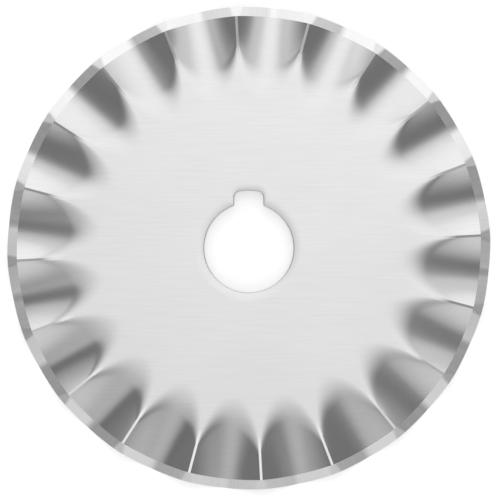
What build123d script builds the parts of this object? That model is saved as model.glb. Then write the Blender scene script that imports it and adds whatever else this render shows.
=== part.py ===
from build123d import *
from math import asin, cos, radians, sin, sqrt, tan
import os

# Round blade of a rotary cutter, stamped from one piece of hardened stainless sheet.
# Its centre is flat. Round the rim the sheet is pressed into flutes that meet in straight
# ridges, and the edge is ground from both sides, so it cuts a scalloped line.
# The blade lies on the bottoms of its flutes with the ridges up. Z is its axis, and the
# notch of the bore points towards +Y. Lengths are in millimetres and angles in degrees.

# Sheet
BLADE_DIAMETER = 45.0
SHEET = 0.3

# Bore for the holder's post
BORE_DIAMETER = 8.3
NOTCH_WIDTH = 2.7
NOTCH_REACH = 5.35  # from the axis to the notch's floor
NOTCH_CORNER = 0.65
NOTCH_MOUTH = 0.25
PUNCH_BEVEL = 0.06  # drawn edge that the punch leaves on the face it enters

# Flutes
FLUTES = 20
NOTCH_TO_RIDGE = 3.1
FLUTE_LENGTH = 7.05  # from the edge in to where the straight floor meets the flat
FLUTE_DEPTH = 0.95
RIDGE_LENGTH = 3.9  # from the edge in to where the ridge widens into the flat
LAND_WIDTH = 0.23  # flat top of a ridge
NOSE_FULLNESS = 0.8  # 0 for a pointed inner end, 1 for a blunt one
FACE_PARTS = (0.391, 0.652)  # shares of its length at which a flute's face is parted

# Ground edge
BEVEL_WIDTH = 0.88
EDGE_LEVEL = 0.62  # 0 on the upper face, 1 on the lower
EDGE_FLAT = 0.5  # blunt top of the edge at a ridge

# Worked out
RIM = BLADE_DIAMETER / 2
GROUND_LINE = RIM - BEVEL_WIDTH
FLUTE_START = RIM - FLUTE_LENGTH
RIDGE_START = RIM - RIDGE_LENGTH
PITCH = radians(360 / FLUTES)
DEPTH_AT_GROUND_LINE = FLUTE_DEPTH * (FLUTE_LENGTH - BEVEL_WIDTH) / FLUTE_LENGTH
REST_HEIGHT = max(DEPTH_AT_GROUND_LINE + SHEET, FLUTE_DEPTH + EDGE_LEVEL * SHEET)


def at(radius, angle):
    return Vector(radius * cos(angle), radius * sin(angle))


def level_row(radius, flat_width):
    # Control points of the level curve across a flute, between two ridges' flats
    side = PITCH / 2 - asin(flat_width / 2 / radius)
    top = Vector(radius / cos(side), 0)
    left, right = at(radius, side), at(radius, -side)
    return [left, (left + top * 2) / 3, (right + top * 2) / 3, right]


def pressed_row(radius, flat_width, depth):
    # The same curve sunk by that depth in the flute's middle, and not at its ends
    shares = (0, 4 / 3, 4 / 3, 0)
    row = level_row(radius, flat_width)
    return [point - Vector(0, 0, depth * share) for point, share in zip(row, shares)]


def lowered(row, drop):
    return [point - Vector(0, 0, drop) for point in row]


def between(row, other, share):
    return [a * (1 - share) + b * share for a, b in zip(row, other)]


def nose_row():
    # Inner end of a flute, where it leaves the flat, from one ridge to the next
    flank = level_row(RIDGE_START, LAND_WIDTH)[0]
    front = (4 * FLUTE_START - flank.X) / 3
    reach = flank.Y - (flank.X - front) * tan(PITCH / 2)
    corner = Vector(front, reach * NOSE_FULLNESS)
    return [flank, corner, Vector(corner.X, -corner.Y), Vector(flank.X, -flank.Y)]


def pressed_bands():
    # Straight lines run from the nose to the ground line, so each band is ruled
    nose = nose_row()
    end = pressed_row(GROUND_LINE, LAND_WIDTH, DEPTH_AT_GROUND_LINE)
    rows = [nose, *[between(nose, end, share) for share in FACE_PARTS], end]
    return list(zip(rows, rows[1:]))


def flute_bands(drop):
    # Bands of a flute from the flat to the edge, on the face that lies this far down.
    # The last band is the ground one, and it ends in the edge, which both faces share.
    bands = [[lowered(row, drop) for row in band] for band in pressed_bands()]
    edge = lowered(pressed_row(RIM, EDGE_FLAT, FLUTE_DEPTH), EDGE_LEVEL * SHEET)
    return [*bands, [bands[-1][-1], edge]]


def beyond_ridge(point):
    # The same point of the next flute, on the other side of their common ridge
    return Vector(point.X, -point.Y, point.Z).rotate(Axis.Z, 360 / FLUTES)


def ridge_bevel(drop):
    # The narrow ground facet across the end of a ridge
    inner, outer = [row[0] for row in flute_bands(drop)[-1]]
    return Face(Wire.make_polygon([inner, outer, beyond_ridge(outer), beyond_ridge(inner)]))


def flute_faces(drop):
    return [Face.make_bezier_surface(band) for band in flute_bands(drop)] + [ridge_bevel(drop)]


def flat_edges(drop):
    # The flat's outline at one flute: its inner end, a ridge's flank on each side, and the
    # end of one ridge's flat
    bands = flute_bands(drop)
    flank = [band[0][0] for band in bands]
    side = [Edge.make_line(a, b) for a, b in zip(flank, flank[1:])]
    ridge_end = Edge.make_line(flank[-1], beyond_ridge(flank[-1]))
    return [Edge.make_bezier(*bands[0][0]), *side, *[edge.mirror(Plane.XZ) for edge in side], ridge_end]


def round_the_rim(shapes):
    # First flute's middle lies half a pitch past the ridge next to the notch
    first = 90 + NOTCH_TO_RIDGE + 360 / FLUTES / 2
    return [shape.rotate(Axis.Z, first + 360 / FLUTES * k) for k in range(FLUTES) for shape in shapes]


def sheet_face(drop):
    flat = Face(Wire(round_the_rim(flat_edges(drop))))
    return [flat, *round_the_rim(flute_faces(drop))]


def bore_profile():
    notch = Pos(0, NOTCH_REACH / 2) * Rectangle(NOTCH_WIDTH, NOTCH_REACH) & Circle(NOTCH_REACH)
    profile = Circle(BORE_DIAMETER / 2) + notch
    corners = profile.vertices().sort_by(Axis.Y)
    side = sqrt(NOTCH_REACH ** 2 - NOTCH_WIDTH ** 2 / 4) - sqrt(BORE_DIAMETER ** 2 - NOTCH_WIDTH ** 2) / 2
    rounded = fillet(corners[-2:], min(NOTCH_CORNER, side / 2))
    mouths = rounded.vertices().filter_by(lambda v: abs(abs(v.X) - NOTCH_WIDTH / 2) < 1e-3)
    return fillet(mouths.sort_by(Axis.Y)[:2], min(NOTCH_MOUTH, side / 4))


def make_blade():
    pressed = Solid(Shell(sheet_face(0) + sheet_face(SHEET)))
    punched = pressed - extrude(bore_profile(), SHEET * 2, both=True)
    upper = punched.edges().filter_by_position(Axis.Z, -1e-4, 1e-4)
    rim_of_bore = [edge for edge in upper if edge.center().length < FLUTE_START / 2]
    return Pos(0, 0, REST_HEIGHT) * chamfer(rim_of_bore, PUNCH_BEVEL)


os.makedirs("parts", exist_ok=True)
blade = make_blade()
export_step(blade, "parts/blade.step")
print("blade volume", round(blade.volume, 2), "mm3, faces", len(blade.faces()))
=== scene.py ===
from math import asin, atan2, cos, pi, radians, sin, sqrt, tan

import bpy
import numpy as np
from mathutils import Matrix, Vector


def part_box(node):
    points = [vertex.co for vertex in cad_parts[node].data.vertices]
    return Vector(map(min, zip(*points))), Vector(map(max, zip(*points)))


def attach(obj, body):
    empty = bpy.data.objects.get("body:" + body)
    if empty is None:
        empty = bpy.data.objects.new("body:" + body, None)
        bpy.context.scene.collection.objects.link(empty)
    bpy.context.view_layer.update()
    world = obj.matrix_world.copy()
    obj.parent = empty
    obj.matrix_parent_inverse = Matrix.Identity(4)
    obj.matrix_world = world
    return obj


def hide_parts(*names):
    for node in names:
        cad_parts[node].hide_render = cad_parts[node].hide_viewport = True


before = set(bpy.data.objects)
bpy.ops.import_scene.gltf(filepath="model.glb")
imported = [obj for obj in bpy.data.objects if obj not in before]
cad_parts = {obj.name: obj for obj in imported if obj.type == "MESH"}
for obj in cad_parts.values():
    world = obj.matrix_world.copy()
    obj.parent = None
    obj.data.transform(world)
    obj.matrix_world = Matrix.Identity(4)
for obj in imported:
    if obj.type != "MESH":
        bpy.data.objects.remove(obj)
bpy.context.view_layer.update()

# Blade
# One disc of hardened stainless sheet, flat in the middle and pressed into twenty flutes
# round the rim, which meet in narrow straight ridges. The edge is ground from both sides.
MM = 0.001
lowest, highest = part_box("blade")
RIM = (highest[0] - lowest[0]) / 2 / MM
TOP = highest[2] / MM
SHEET = 0.3

BORE = 4.15
NOTCH_HALF = 1.35
NOTCH_REACH = 5.35  # from the axis to the notch's floor
NOTCH_CORNER = 0.627
NOTCH_MOUTH = 0.25
DIE_ROLL = 0.09  # rounding that the punch leaves on the upper rim of the bore
BURNISHED = 0.16  # smooth band of the punched wall, below the rounding

FLUTES = 20
PITCH = 2 * pi / FLUTES
FIRST_RIDGE = radians(90 + 3.1)  # the notch points to 90 degrees
FLUTE_LENGTH = 7.05  # from the edge in to where the floor meets the flat
RIDGE_LENGTH = 3.9  # from the edge in to where the ridge widens into the flat
FLUTE_DEPTH = 0.95
LAND_WIDTH = 0.23  # flat top of a ridge
NOSE_FULLNESS = 0.6  # 0 for a pointed inner end, 1 for a blunt one
EASE_IN = 1.7  # the bend into a flute starts this far before the nose
EASE_OUT = 1.3  # and ends this far beyond it,
EASE_LIMIT = 0.42  # but within this share of the way to the ground line
FLUTE_START = RIM - FLUTE_LENGTH
RIDGE_START = RIM - RIDGE_LENGTH

BEVEL_WIDTH = 0.88
EDGE_LEVEL = 0.62  # 0 on the upper face, 1 on the lower
EDGE_FLAT = 0.8  # blunt top of the edge at a ridge
EDGE_BOW = 0.3  # how far the edge is straighter than the flute, in sheet thicknesses
GROUND_LINE = RIM - BEVEL_WIDTH
DEPTH_AT_GROUND_LINE = FLUTE_DEPTH * (GROUND_LINE - FLUTE_START) / FLUTE_LENGTH

# Shading
CREST_LEAN = radians(10)  # how far the polish of a ridge's flat leans to the middle
LEAN_BEFORE = 1.2  # that lean starts this far before the ridge does
LEAN_RISE = 2.0  # and is full this much further out
END_LEAN = radians(14)  # how far the grinding at a ridge's end leans outwards
FACET_LEAN = radians(17)  # the same for the ground facets in a flute,
FACET_TURN = radians(12)  # and how far they lean to the flute's middle
SOFT_RIDGE = 0.1  # share of half a flute over which a facet turns into the ridge's
SOFT_FOLD = 0.15  # and over which the two facets turn into each other

# Mesh rows and columns
HALF_FLUTE_COLUMNS = 20
WHOLE_RING = 9.0  # from here inwards the rows close in on the bore
WALL_ROWS = 2
ROLL_ROWS = 5
INNER_ROWS = 6
FLAT_ROWS = 8
BEND_ROWS = 16
FLUTE_ROWS = 6
BEVEL_ROWS = 4

shares = np.linspace(-1, 1, 2 * HALF_FLUTE_COLUMNS + 1)
across = np.tile(1 - np.abs(shares), FLUTES)  # 0 at a ridge, 1 in a flute's middle
side_share = np.tile(shares, FLUTES)
flute_middle = np.repeat(FIRST_RIDGE + PITCH / 2 + PITCH * np.arange(FLUTES), len(shares))


def ring(radius, flat_width, depth):
    # One row of points at this radius, with a ridge's flat of that width
    side = PITCH / 2 - asin(flat_width / 2 / radius)
    angle = flute_middle + side_share * side
    return np.stack([radius * np.cos(angle), radius * np.sin(angle), -depth], axis=1)


def nose_ring():
    # The inner ends of the flutes: a soft corner curve from each ridge to the middle
    side = PITCH / 2 - asin(LAND_WIDTH / 2 / RIDGE_START)
    flank = np.array([RIDGE_START * cos(side), RIDGE_START * sin(side)])
    reach = flank[1] - (flank[0] - FLUTE_START) * tan(PITCH / 2)
    corner = np.array([FLUTE_START, reach * NOSE_FULLNESS])
    tip = np.array([FLUTE_START, 0])
    t = across[:, None]
    along, beside = ((1 - t) ** 2 * flank + 2 * t * (1 - t) * corner + t ** 2 * tip).T
    beside = beside * np.sign(side_share)
    turn, lean = np.cos(flute_middle), np.sin(flute_middle)
    return np.stack([along * turn - beside * lean, along * lean + beside * turn, 0 * along], axis=1)


def edge_ring():
    # The cutting edge. It is a little straighter than the flute, so it folds in the middle.
    straight = min(1, 4 * EDGE_BOW * SHEET / FLUTE_DEPTH)
    bowed = 2 * across * (1 - across) * (1 - straight / 2) + across ** 2
    return ring(RIM, EDGE_FLAT, EDGE_LEVEL * SHEET + FLUTE_DEPTH * bowed)


def pressed_rows():
    # From the start of the softened bend out to the ground line. Beyond the bend the flute
    # is straight in every section through the nose.
    nose = nose_ring()
    ground = ring(GROUND_LINE, LAND_WIDTH, DEPTH_AT_GROUND_LINE * (2 * across - across ** 2))
    length = np.hypot(*(ground - nose)[:, :2].T)[:, None]
    before = nose - (ground - nose) * EASE_IN / length * [1, 1, 0]
    share_beyond = np.minimum(EASE_OUT / length, EASE_LIMIT)
    beyond = nose + (ground - nose) * share_beyond
    bend = [(1 - t) ** 2 * before + 2 * t * (1 - t) * nose + t ** 2 * beyond
            for t in np.linspace(0, 1, BEND_ROWS + 1)[:-1]]
    return bend + [beyond + (ground - beyond) * t for t in np.linspace(0, 1, FLUTE_ROWS + 1)]


def arc_points(centre, radius, start, end, steps=24):
    # Points along an arc, from one angle to the other
    angles = np.linspace(start, end, steps)
    return [(centre[0] + radius * cos(a), centre[1] + radius * sin(a)) for a in angles]


def bore_outline():
    # Right half of the bore from its lowest point to the top of the notch, then its mirror
    # image. The mouths and the corners of the notch are rounded.
    mouth = (NOTCH_HALF + NOTCH_MOUTH, sqrt((BORE + NOTCH_MOUTH) ** 2 - (NOTCH_HALF + NOTCH_MOUTH) ** 2))
    corner_x = NOTCH_HALF - NOTCH_CORNER
    corner = (corner_x, sqrt((NOTCH_REACH - NOTCH_CORNER) ** 2 - corner_x ** 2))
    mouth_angle = atan2(mouth[1], mouth[0])
    corner_angle = atan2(corner[1], corner[0])
    half = arc_points((0, 0), BORE, -pi / 2, mouth_angle, steps=90)
    half += arc_points(mouth, NOTCH_MOUTH, mouth_angle + pi, pi)[1:]
    half += arc_points(corner, NOTCH_CORNER, 0, corner_angle)
    half += arc_points((0, 0), NOTCH_REACH, corner_angle, pi / 2)[1:]
    return np.array(half + [(-x, y) for x, y in half[-2:0:-1]])


def even_points(outline, places):
    # Points on the closed outline at these shares of its length, and the outward normals
    closed = np.vstack([outline, outline[:1]])
    length = np.concatenate([[0], np.cumsum(np.hypot(*np.diff(closed, axis=0).T))])
    whole = length[-1]
    wanted = places % 1 * whole
    step = 1e-3  # to either side of a point, for the outline's heading there

    def points_at(along):
        return np.stack([np.interp(along, length, closed[:, i]) for i in (0, 1)], axis=1)

    heading = points_at((wanted + step) % whole) - points_at((wanted - step) % whole)
    heading /= np.hypot(*heading.T)[:, None]
    return points_at(wanted), np.stack([heading[:, 1], -heading[:, 0]], axis=1)


def blade_rows():
    # Rows from the lower rim of the bore, up its wall, over the upper face to the edge and
    # back along the lower face. Each has the name of the surface between it and the next.
    whole = ring(WHOLE_RING, LAND_WIDTH, 0 * across)
    places = (np.arctan2(whole[:, 1], whole[:, 0]) + pi / 2) / (2 * pi)
    bore, outward = even_points(bore_outline(), places)

    def bore_row(offset, height):
        return np.column_stack([bore + outward * offset, np.full(len(bore), height)])

    rows = [(bore_row(0, -SHEET), "punched"), (bore_row(0, -DIE_ROLL - BURNISHED), "burnished")]
    for turn in np.linspace(0, pi / 2, ROLL_ROWS + 1)[:-1]:
        rows.append((bore_row(DIE_ROLL * (1 - cos(turn)), DIE_ROLL * (sin(turn) - 1)), "rolled"))
    inner = bore_row(DIE_ROLL, 0)
    pressed = pressed_rows()
    upper = [inner + (whole - inner) * k / INNER_ROWS for k in range(INNER_ROWS)]
    upper += [whole + (pressed[0] - whole) * k / FLAT_ROWS for k in range(FLAT_ROWS)]
    upper += pressed
    rows += [(row, "rolled") for row in upper[:-1]]

    drop = np.array([0, 0, -SHEET])
    edge = edge_ring()
    bevel_shares = np.arange(BEVEL_ROWS) / BEVEL_ROWS
    rows += [(upper[-1] * (1 - s) + edge * s, "ground") for s in bevel_shares]
    rows += [(edge * (1 - s) + (upper[-1] + drop) * s, "ground") for s in bevel_shares]
    rows += [(row + drop, "rolled") for row in reversed(upper[1:])]
    return rows


def grid_faces(row_count, column_count):
    # Four-cornered faces between neighbours, closed both ways round
    row, column = np.meshgrid(np.arange(row_count), np.arange(column_count), indexing="ij")
    next_row, next_column = (row + 1) % row_count, (column + 1) % column_count
    corners = [(row, column), (next_row, column), (next_row, next_column), (row, next_column)]
    return np.stack([r * column_count + c for r, c in corners], axis=-1).reshape(-1, 4)


def mark_sharp(mesh, rows, column_count):
    # The lower rim of the bore, the ground lines, the edge, the ridges' flanks and the folds
    # of the bevel are crisp. Everything else is smooth.
    vertices = np.array([edge.vertices for edge in mesh.edges])
    row, column = vertices // column_count, vertices % column_count
    surfaces = [name for _, name in rows]
    first_ground = surfaces.index("ground")
    crisp_rows = [0, first_ground, first_ground + BEVEL_ROWS, first_ground + 2 * BEVEL_ROWS]
    along_row = (row[:, 0] == row[:, 1]) & np.isin(row[:, 0], crisp_rows)
    along_column = column[:, 0] == column[:, 1]
    points = np.array([row_points for row_points, _ in rows])
    reach = np.hypot(points[..., 0], points[..., 1])[row.min(axis=1), column[:, 0]]
    on_bevel = np.array([surfaces[k] == "ground" for k in row.min(axis=1)])
    flank = along_column & (np.abs(side_share[column[:, 0]]) == 1) & (reach > RIDGE_START) & ~on_bevel
    fold = along_column & (across[column[:, 0]] == 1) & on_bevel
    mesh.attributes.new("sharp_edge", "BOOLEAN", "EDGE")
    mesh.attributes["sharp_edge"].data.foreach_set("value", along_row | flank | fold)


def leaning(angle, outwards, sideways):
    # Unit normals that lean from upright by these slopes, at this angle round the axis
    x = outwards * np.cos(angle) - sideways * np.sin(angle)
    y = outwards * np.sin(angle) + sideways * np.cos(angle)
    normals = np.stack([x, y, np.ones_like(angle)], axis=-1)
    return normals / np.linalg.norm(normals, axis=-1, keepdims=True)


def lean_the_finish(mesh, rows, column_count):
    # Shading normals. The flat of a ridge is polished leaning a little inwards. The grinding
    # leaves two facets in each flute, and at a ridge it leans straight outwards. Loops that
    # are left at nought keep their own normals.
    loop_vertices = np.array([polygon.vertices for polygon in mesh.polygons])
    x, y = np.concatenate([row_points for row_points, _ in rows])[loop_vertices, :2].transpose(2, 0, 1)
    angle, reach = np.arctan2(y, x), np.hypot(x, y)
    row, column = np.divmod(np.arange(len(loop_vertices))[:, None], column_count)
    first_ground = [name for _, name in rows].index("ground")

    lean_share = (reach - RIDGE_START + LEAN_BEFORE) / LEAN_RISE
    on_upper_face = (row > WALL_ROWS + ROLL_ROWS) & (row < first_ground)
    crest = (side_share[column] == 1) & on_upper_face & (lean_share > 0)
    crest_normals = leaning(angle, -tan(CREST_LEAN) * np.clip(lean_share, 0, 1), 0)

    bevel = (row >= first_ground) & (row < first_ground + BEVEL_ROWS)
    side = side_share[loop_vertices % column_count]
    middle = flute_middle[loop_vertices % column_count]
    from_ridge = np.clip((1 - np.abs(side)) / SOFT_RIDGE, 0, 1)
    from_fold = np.clip(np.abs(side) / SOFT_FOLD, 0, 1)
    outwards = tan(END_LEAN) * (1 - from_ridge) + tan(FACET_LEAN) * from_ridge
    sideways = -np.sign(side) * tan(FACET_TURN) * from_ridge * from_fold
    facet_angle = middle + side * (1 - from_ridge / 2) * PITCH / 2
    bevel_normals = leaning(facet_angle, outwards, sideways)

    normals = np.where(bevel[..., None], bevel_normals, crest_normals) * (crest | bevel)[..., None]
    mesh.normals_split_custom_set(normals.reshape(-1, 3).tolist())


def steel_shader(name, colour, roughness):
    material = bpy.data.materials.new(name)
    material.use_nodes = True
    shader = material.node_tree.nodes["Principled BSDF"]
    shader.inputs["Base Color"].default_value = (*colour, 1)
    shader.inputs["Metallic"].default_value = 1
    shader.inputs["Roughness"].default_value = roughness
    return material, shader


def noise(nodes, links, vector, scale, detail):
    texture = nodes.new("ShaderNodeTexNoise")
    texture.inputs["Scale"].default_value = scale
    texture.inputs["Detail"].default_value = detail
    links.new(vector, texture.inputs["Vector"])
    return texture.outputs["Fac"]


def stretched(nodes, links, scale):
    # Object coordinates drawn out along one direction, for rolling and grinding marks
    coordinates = nodes.new("ShaderNodeTexCoord")
    mapping = nodes.new("ShaderNodeMapping")
    mapping.inputs["Scale"].default_value = scale
    links.new(coordinates.outputs["Object"], mapping.inputs["Vector"])
    return mapping.outputs["Vector"]


def spread(nodes, links, value, low, high):
    ramp = nodes.new("ShaderNodeMapRange")
    ramp.inputs["To Min"].default_value = low
    ramp.inputs["To Max"].default_value = high
    links.new(value, ramp.inputs["Value"])
    return ramp.outputs["Result"]


def fine_bump(nodes, links, shader, height, strength, distance):
    bump = nodes.new("ShaderNodeBump")
    bump.inputs["Strength"].default_value = strength
    bump.inputs["Distance"].default_value = distance
    links.new(height, bump.inputs["Height"])
    links.new(bump.outputs["Normal"], shader.inputs["Normal"])


def tinted(nodes, links, shader, value, dark, light):
    # The noise seldom leaves the middle of its range, so the two tints meet within that
    ramp = nodes.new("ShaderNodeValToRGB")
    ramp.color_ramp.elements[0].position = 0.3
    ramp.color_ramp.elements[1].position = 0.7
    ramp.color_ramp.elements[0].color = (*dark, 1)
    ramp.color_ramp.elements[1].color = (*light, 1)
    links.new(value, ramp.inputs["Fac"])
    links.new(ramp.outputs["Color"], shader.inputs["Base Color"])


def rolled_steel():
    # Bright rolled sheet: fine lines along the rolling direction and faint clouds of haze
    material, shader = steel_shader("rolled_steel", (0.76, 0.76, 0.76), 0.15)
    nodes, links = material.node_tree.nodes, material.node_tree.links
    lines = noise(nodes, links, stretched(nodes, links, (0.03, 1, 1)), scale=9000, detail=3)
    clouds = noise(nodes, links, stretched(nodes, links, (0.6, 1, 1)), scale=180, detail=4)
    tinted(nodes, links, shader, lines, dark=(0.745, 0.745, 0.748), light=(0.775, 0.775, 0.775))
    links.new(spread(nodes, links, clouds, low=0.12, high=0.19), shader.inputs["Roughness"])
    fine_bump(nodes, links, shader, lines, strength=0.06, distance=0.000004)
    return material


def ground_steel():
    # Ground bevel: short bright scratches that run across the edge. The noise is laid over
    # the angle in radians and the distance from the axis.
    material, shader = steel_shader("ground_steel", (0.93, 0.93, 0.93), 0.34)
    nodes, links = material.node_tree.nodes, material.node_tree.links
    coordinates = nodes.new("ShaderNodeTexCoord")
    apart = nodes.new("ShaderNodeSeparateXYZ")
    links.new(coordinates.outputs["Object"], apart.inputs["Vector"])
    angle = nodes.new("ShaderNodeMath")
    angle.operation = "ARCTAN2"
    links.new(apart.outputs["Y"], angle.inputs[0])
    links.new(apart.outputs["X"], angle.inputs[1])
    reach = nodes.new("ShaderNodeVectorMath")
    reach.operation = "LENGTH"
    links.new(coordinates.outputs["Object"], reach.inputs[0])
    polar = nodes.new("ShaderNodeCombineXYZ")
    links.new(angle.outputs["Value"], polar.inputs["X"])
    links.new(reach.outputs["Value"], polar.inputs["Y"])
    scratches = noise(nodes, links, polar.outputs["Vector"], scale=260, detail=4)
    tinted(nodes, links, shader, scratches, dark=(0.89, 0.89, 0.893), light=(0.96, 0.96, 0.96))
    links.new(spread(nodes, links, scratches, low=0.28, high=0.4), shader.inputs["Roughness"])
    fine_bump(nodes, links, shader, scratches, strength=0.05, distance=0.00001)
    return material


def punched_steel(name, tone, smoothest, roughest):
    # The punch leaves upright streaks on the wall, fine at the top and torn below
    material, shader = steel_shader(name, (tone, tone, tone), roughest)
    dark = tone * 0.8
    nodes, links = material.node_tree.nodes, material.node_tree.links
    tears = noise(nodes, links, stretched(nodes, links, (1, 1, 0.2)), scale=5000, detail=4)
    tinted(nodes, links, shader, tears, dark=(dark, dark, dark), light=(tone, tone, tone))
    links.new(spread(nodes, links, tears, smoothest, roughest), shader.inputs["Roughness"])
    fine_bump(nodes, links, shader, tears, strength=0.3, distance=0.00001)
    return material


rows = blade_rows()
columns = len(across)
points = np.concatenate([row for row, _ in rows])
points[:, 2] += TOP
faces = grid_faces(len(rows), columns)
blade_mesh = bpy.data.meshes.new("fluted_blade")
blade_mesh.from_pydata((points * MM).tolist(), [], faces.tolist())
finishes = {
    "rolled": rolled_steel(),
    "ground": ground_steel(),
    "burnished": punched_steel("burnished_wall", tone=0.6, smoothest=0.2, roughest=0.3),
    "punched": punched_steel("torn_wall", tone=0.4, smoothest=0.4, roughest=0.6),
}
for finish in finishes.values():
    blade_mesh.materials.append(finish)
finish_index = [list(finishes).index(name) for _, name in rows]
blade_mesh.polygons.foreach_set("material_index", np.repeat(finish_index, columns))
mark_sharp(blade_mesh, rows, columns)
blade_mesh.shade_smooth()
blade_mesh.update()
lean_the_finish(blade_mesh, rows, columns)
blade = bpy.data.objects.new("fluted_blade", blade_mesh)
bpy.context.collection.objects.link(blade)
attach(blade, "root")
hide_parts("blade")

# Table
# The blade lies on a plain pale painted board. A glow that only the camera sees brings it
# up to white, and the rest of its light comes from the cards, so it keeps the blade's shadow.
BOARD_HALF = 0.3
BOARD_TONE = 0.85
BOARD_ROUGHNESS = 0.9
BOARD_GLOW = 0.55
board_corners = [(x * BOARD_HALF, y * BOARD_HALF, 0) for x, y in ((-1, -1), (1, -1), (1, 1), (-1, 1))]
board_mesh = bpy.data.meshes.new("board")
board_mesh.from_pydata(board_corners, [], [(0, 1, 2, 3)])
board = bpy.data.objects.new("board", board_mesh)
bpy.context.collection.objects.link(board)
board_paint = bpy.data.materials.new("board_paint")
board_paint.use_nodes = True
paint = board_paint.node_tree.nodes["Principled BSDF"]
paint.inputs["Base Color"].default_value = (BOARD_TONE, BOARD_TONE, BOARD_TONE, 1)
paint.inputs["Roughness"].default_value = BOARD_ROUGHNESS
paint.inputs["Emission Color"].default_value = (1, 1, 1, 1)
board_nodes, board_links = board_paint.node_tree.nodes, board_paint.node_tree.links
board_path = board_nodes.new("ShaderNodeLightPath")
board_glow = board_nodes.new("ShaderNodeMath")
board_glow.operation = "MULTIPLY"
board_glow.inputs[1].default_value = BOARD_GLOW
board_links.new(board_path.outputs["Is Camera Ray"], board_glow.inputs[0])
board_links.new(board_glow.outputs["Value"], paint.inputs["Emission Strength"])
board_mesh.materials.append(board_paint)

# Studio light
# Soft cards far off: white ones overhead and at the back, grey ones in front and black
# ones between them at both sides, in a grey room. The camera sees plain white instead.
world = bpy.data.worlds.new("studio")
world.use_nodes = True
bpy.context.scene.world = world
nodes, links = world.node_tree.nodes, world.node_tree.links


def arithmetic(operation, a, b=0.0):
    # One step of arithmetic on two numbers or sockets
    node = nodes.new("ShaderNodeMath")
    node.operation = operation
    for socket, value in zip(node.inputs, (a, b)):
        if isinstance(value, (int, float)):
            socket.default_value = value
        else:
            links.new(value, socket)
    return node.outputs["Value"]


def soft_step(value, start, end, low=0.0, high=1.0):
    node = nodes.new("ShaderNodeMapRange")
    node.interpolation_type = "SMOOTHSTEP"
    for name, number in (("From Min", start), ("From Max", end), ("To Min", low), ("To Max", high)):
        node.inputs[name].default_value = number
    links.new(value, node.inputs["Value"])
    return node.outputs["Result"]


def blend(share, first, second):
    # The first strength where the share is 0 and the second where it is 1
    rest = arithmetic("SUBTRACT", 1.0, share)
    return arithmetic("ADD", arithmetic("MULTIPLY", rest, first), arithmetic("MULTIPLY", share, second))


def card(under, place, size, turn, tone):
    # A soft-edged card over the cards before it. Places and sizes are sines of the angle
    # from straight overhead.
    mapping = nodes.new("ShaderNodeMapping")
    mapping.vector_type = "TEXTURE"
    mapping.inputs["Location"].default_value = (*place, 0)
    mapping.inputs["Rotation"].default_value = (0, 0, turn)
    mapping.inputs["Scale"].default_value = (*size, 1)
    links.new(sky.outputs["Vector"], mapping.inputs["Vector"])
    distance = nodes.new("ShaderNodeVectorMath")
    distance.operation = "LENGTH"
    links.new(mapping.outputs["Vector"], distance.inputs[0])
    edge = soft_step(distance.outputs["Value"], start=1.0, end=0.0)
    cover = arithmetic("MULTIPLY", edge, arithmetic("SUBTRACT", 2.0, edge))
    return blend(cover, under, tone)


direction = nodes.new("ShaderNodeTexCoord").outputs["Generated"]
split = nodes.new("ShaderNodeSeparateXYZ")
links.new(direction, split.inputs["Vector"])
sky = nodes.new("ShaderNodeVectorMath")
sky.operation = "MULTIPLY"
links.new(direction, sky.inputs[0])
sky.inputs[1].default_value = (1, 1, 0)

GAIN = 1.35  # makes up for the steel's own colour
DARKNESS = 0.15  # between the cards
CARDS = [  # place, size, turn and tone
    ((0.0, 0.78), (0.97, 0.91), -0.07, 0.85),  # high at the back
    ((-0.02, -0.89), (1.1, 0.8), 0.13, 0.58),  # in front
    ((-0.17, -0.15), (0.39, 0.22), -0.92, 0.44),  # grey, front left of the middle
    ((0.38, 0.33), (0.19, 0.25), -0.34, 0.55),  # back right
    ((-0.22, 0.29), (0.24, 0.21), 0.69, 0.53),  # back left
    ((0.18, -0.09), (0.18, 0.3), 0.24, 0.13),  # black, right
    ((-0.36, -0.01), (0.13, 0.42), -0.4, 0.13),  # black, left
    ((0.03, 0.14), (0.32, 0.47), 0.14, 0.83),  # overhead
]
level = DARKNESS
for place, size, turn, tone in CARDS:
    level = card(level, place, size, turn, tone)
# Low down the grey room takes over from the cards, and it is brighter at the left and right
from_middle = arithmetic("ABSOLUTE", split.outputs["X"])
room = soft_step(from_middle, start=0.35, end=0.7, low=0.45, high=0.78)
level = blend(soft_step(split.outputs["Z"], start=0.52, end=0.36), level, room)
seen = nodes.new("ShaderNodeLightPath")
strength = blend(seen.outputs["Is Camera Ray"], arithmetic("MULTIPLY", level, GAIN), 1.0)
links.new(strength, nodes["Background"].inputs["Strength"])
nodes["Background"].inputs["Color"].default_value = (1, 1, 1, 1)

# Camera
# It looks straight down from high above the blade, as in the photograph, and the notch
# points up in the picture.
CAMERA_HEIGHT = 0.3
FRAME_HEIGHT = 0.046526  # what the picture's 500 pixels span on the blade
AXIS_OFFSET = (-0.00003, -0.00018)  # middle of the picture from the blade's axis
camera_data = bpy.data.cameras.new("camera")
camera_data.sensor_fit = "AUTO"
camera_data.sensor_width = 36
camera_data.lens = camera_data.sensor_width * CAMERA_HEIGHT / FRAME_HEIGHT
camera_data.clip_start = 0.01
camera = bpy.data.objects.new("camera", camera_data)
camera.location = (*AXIS_OFFSET, CAMERA_HEIGHT + TOP * MM)
bpy.context.collection.objects.link(camera)
bpy.context.scene.camera = camera

bpy.context.scene.view_settings.view_transform = "Standard"
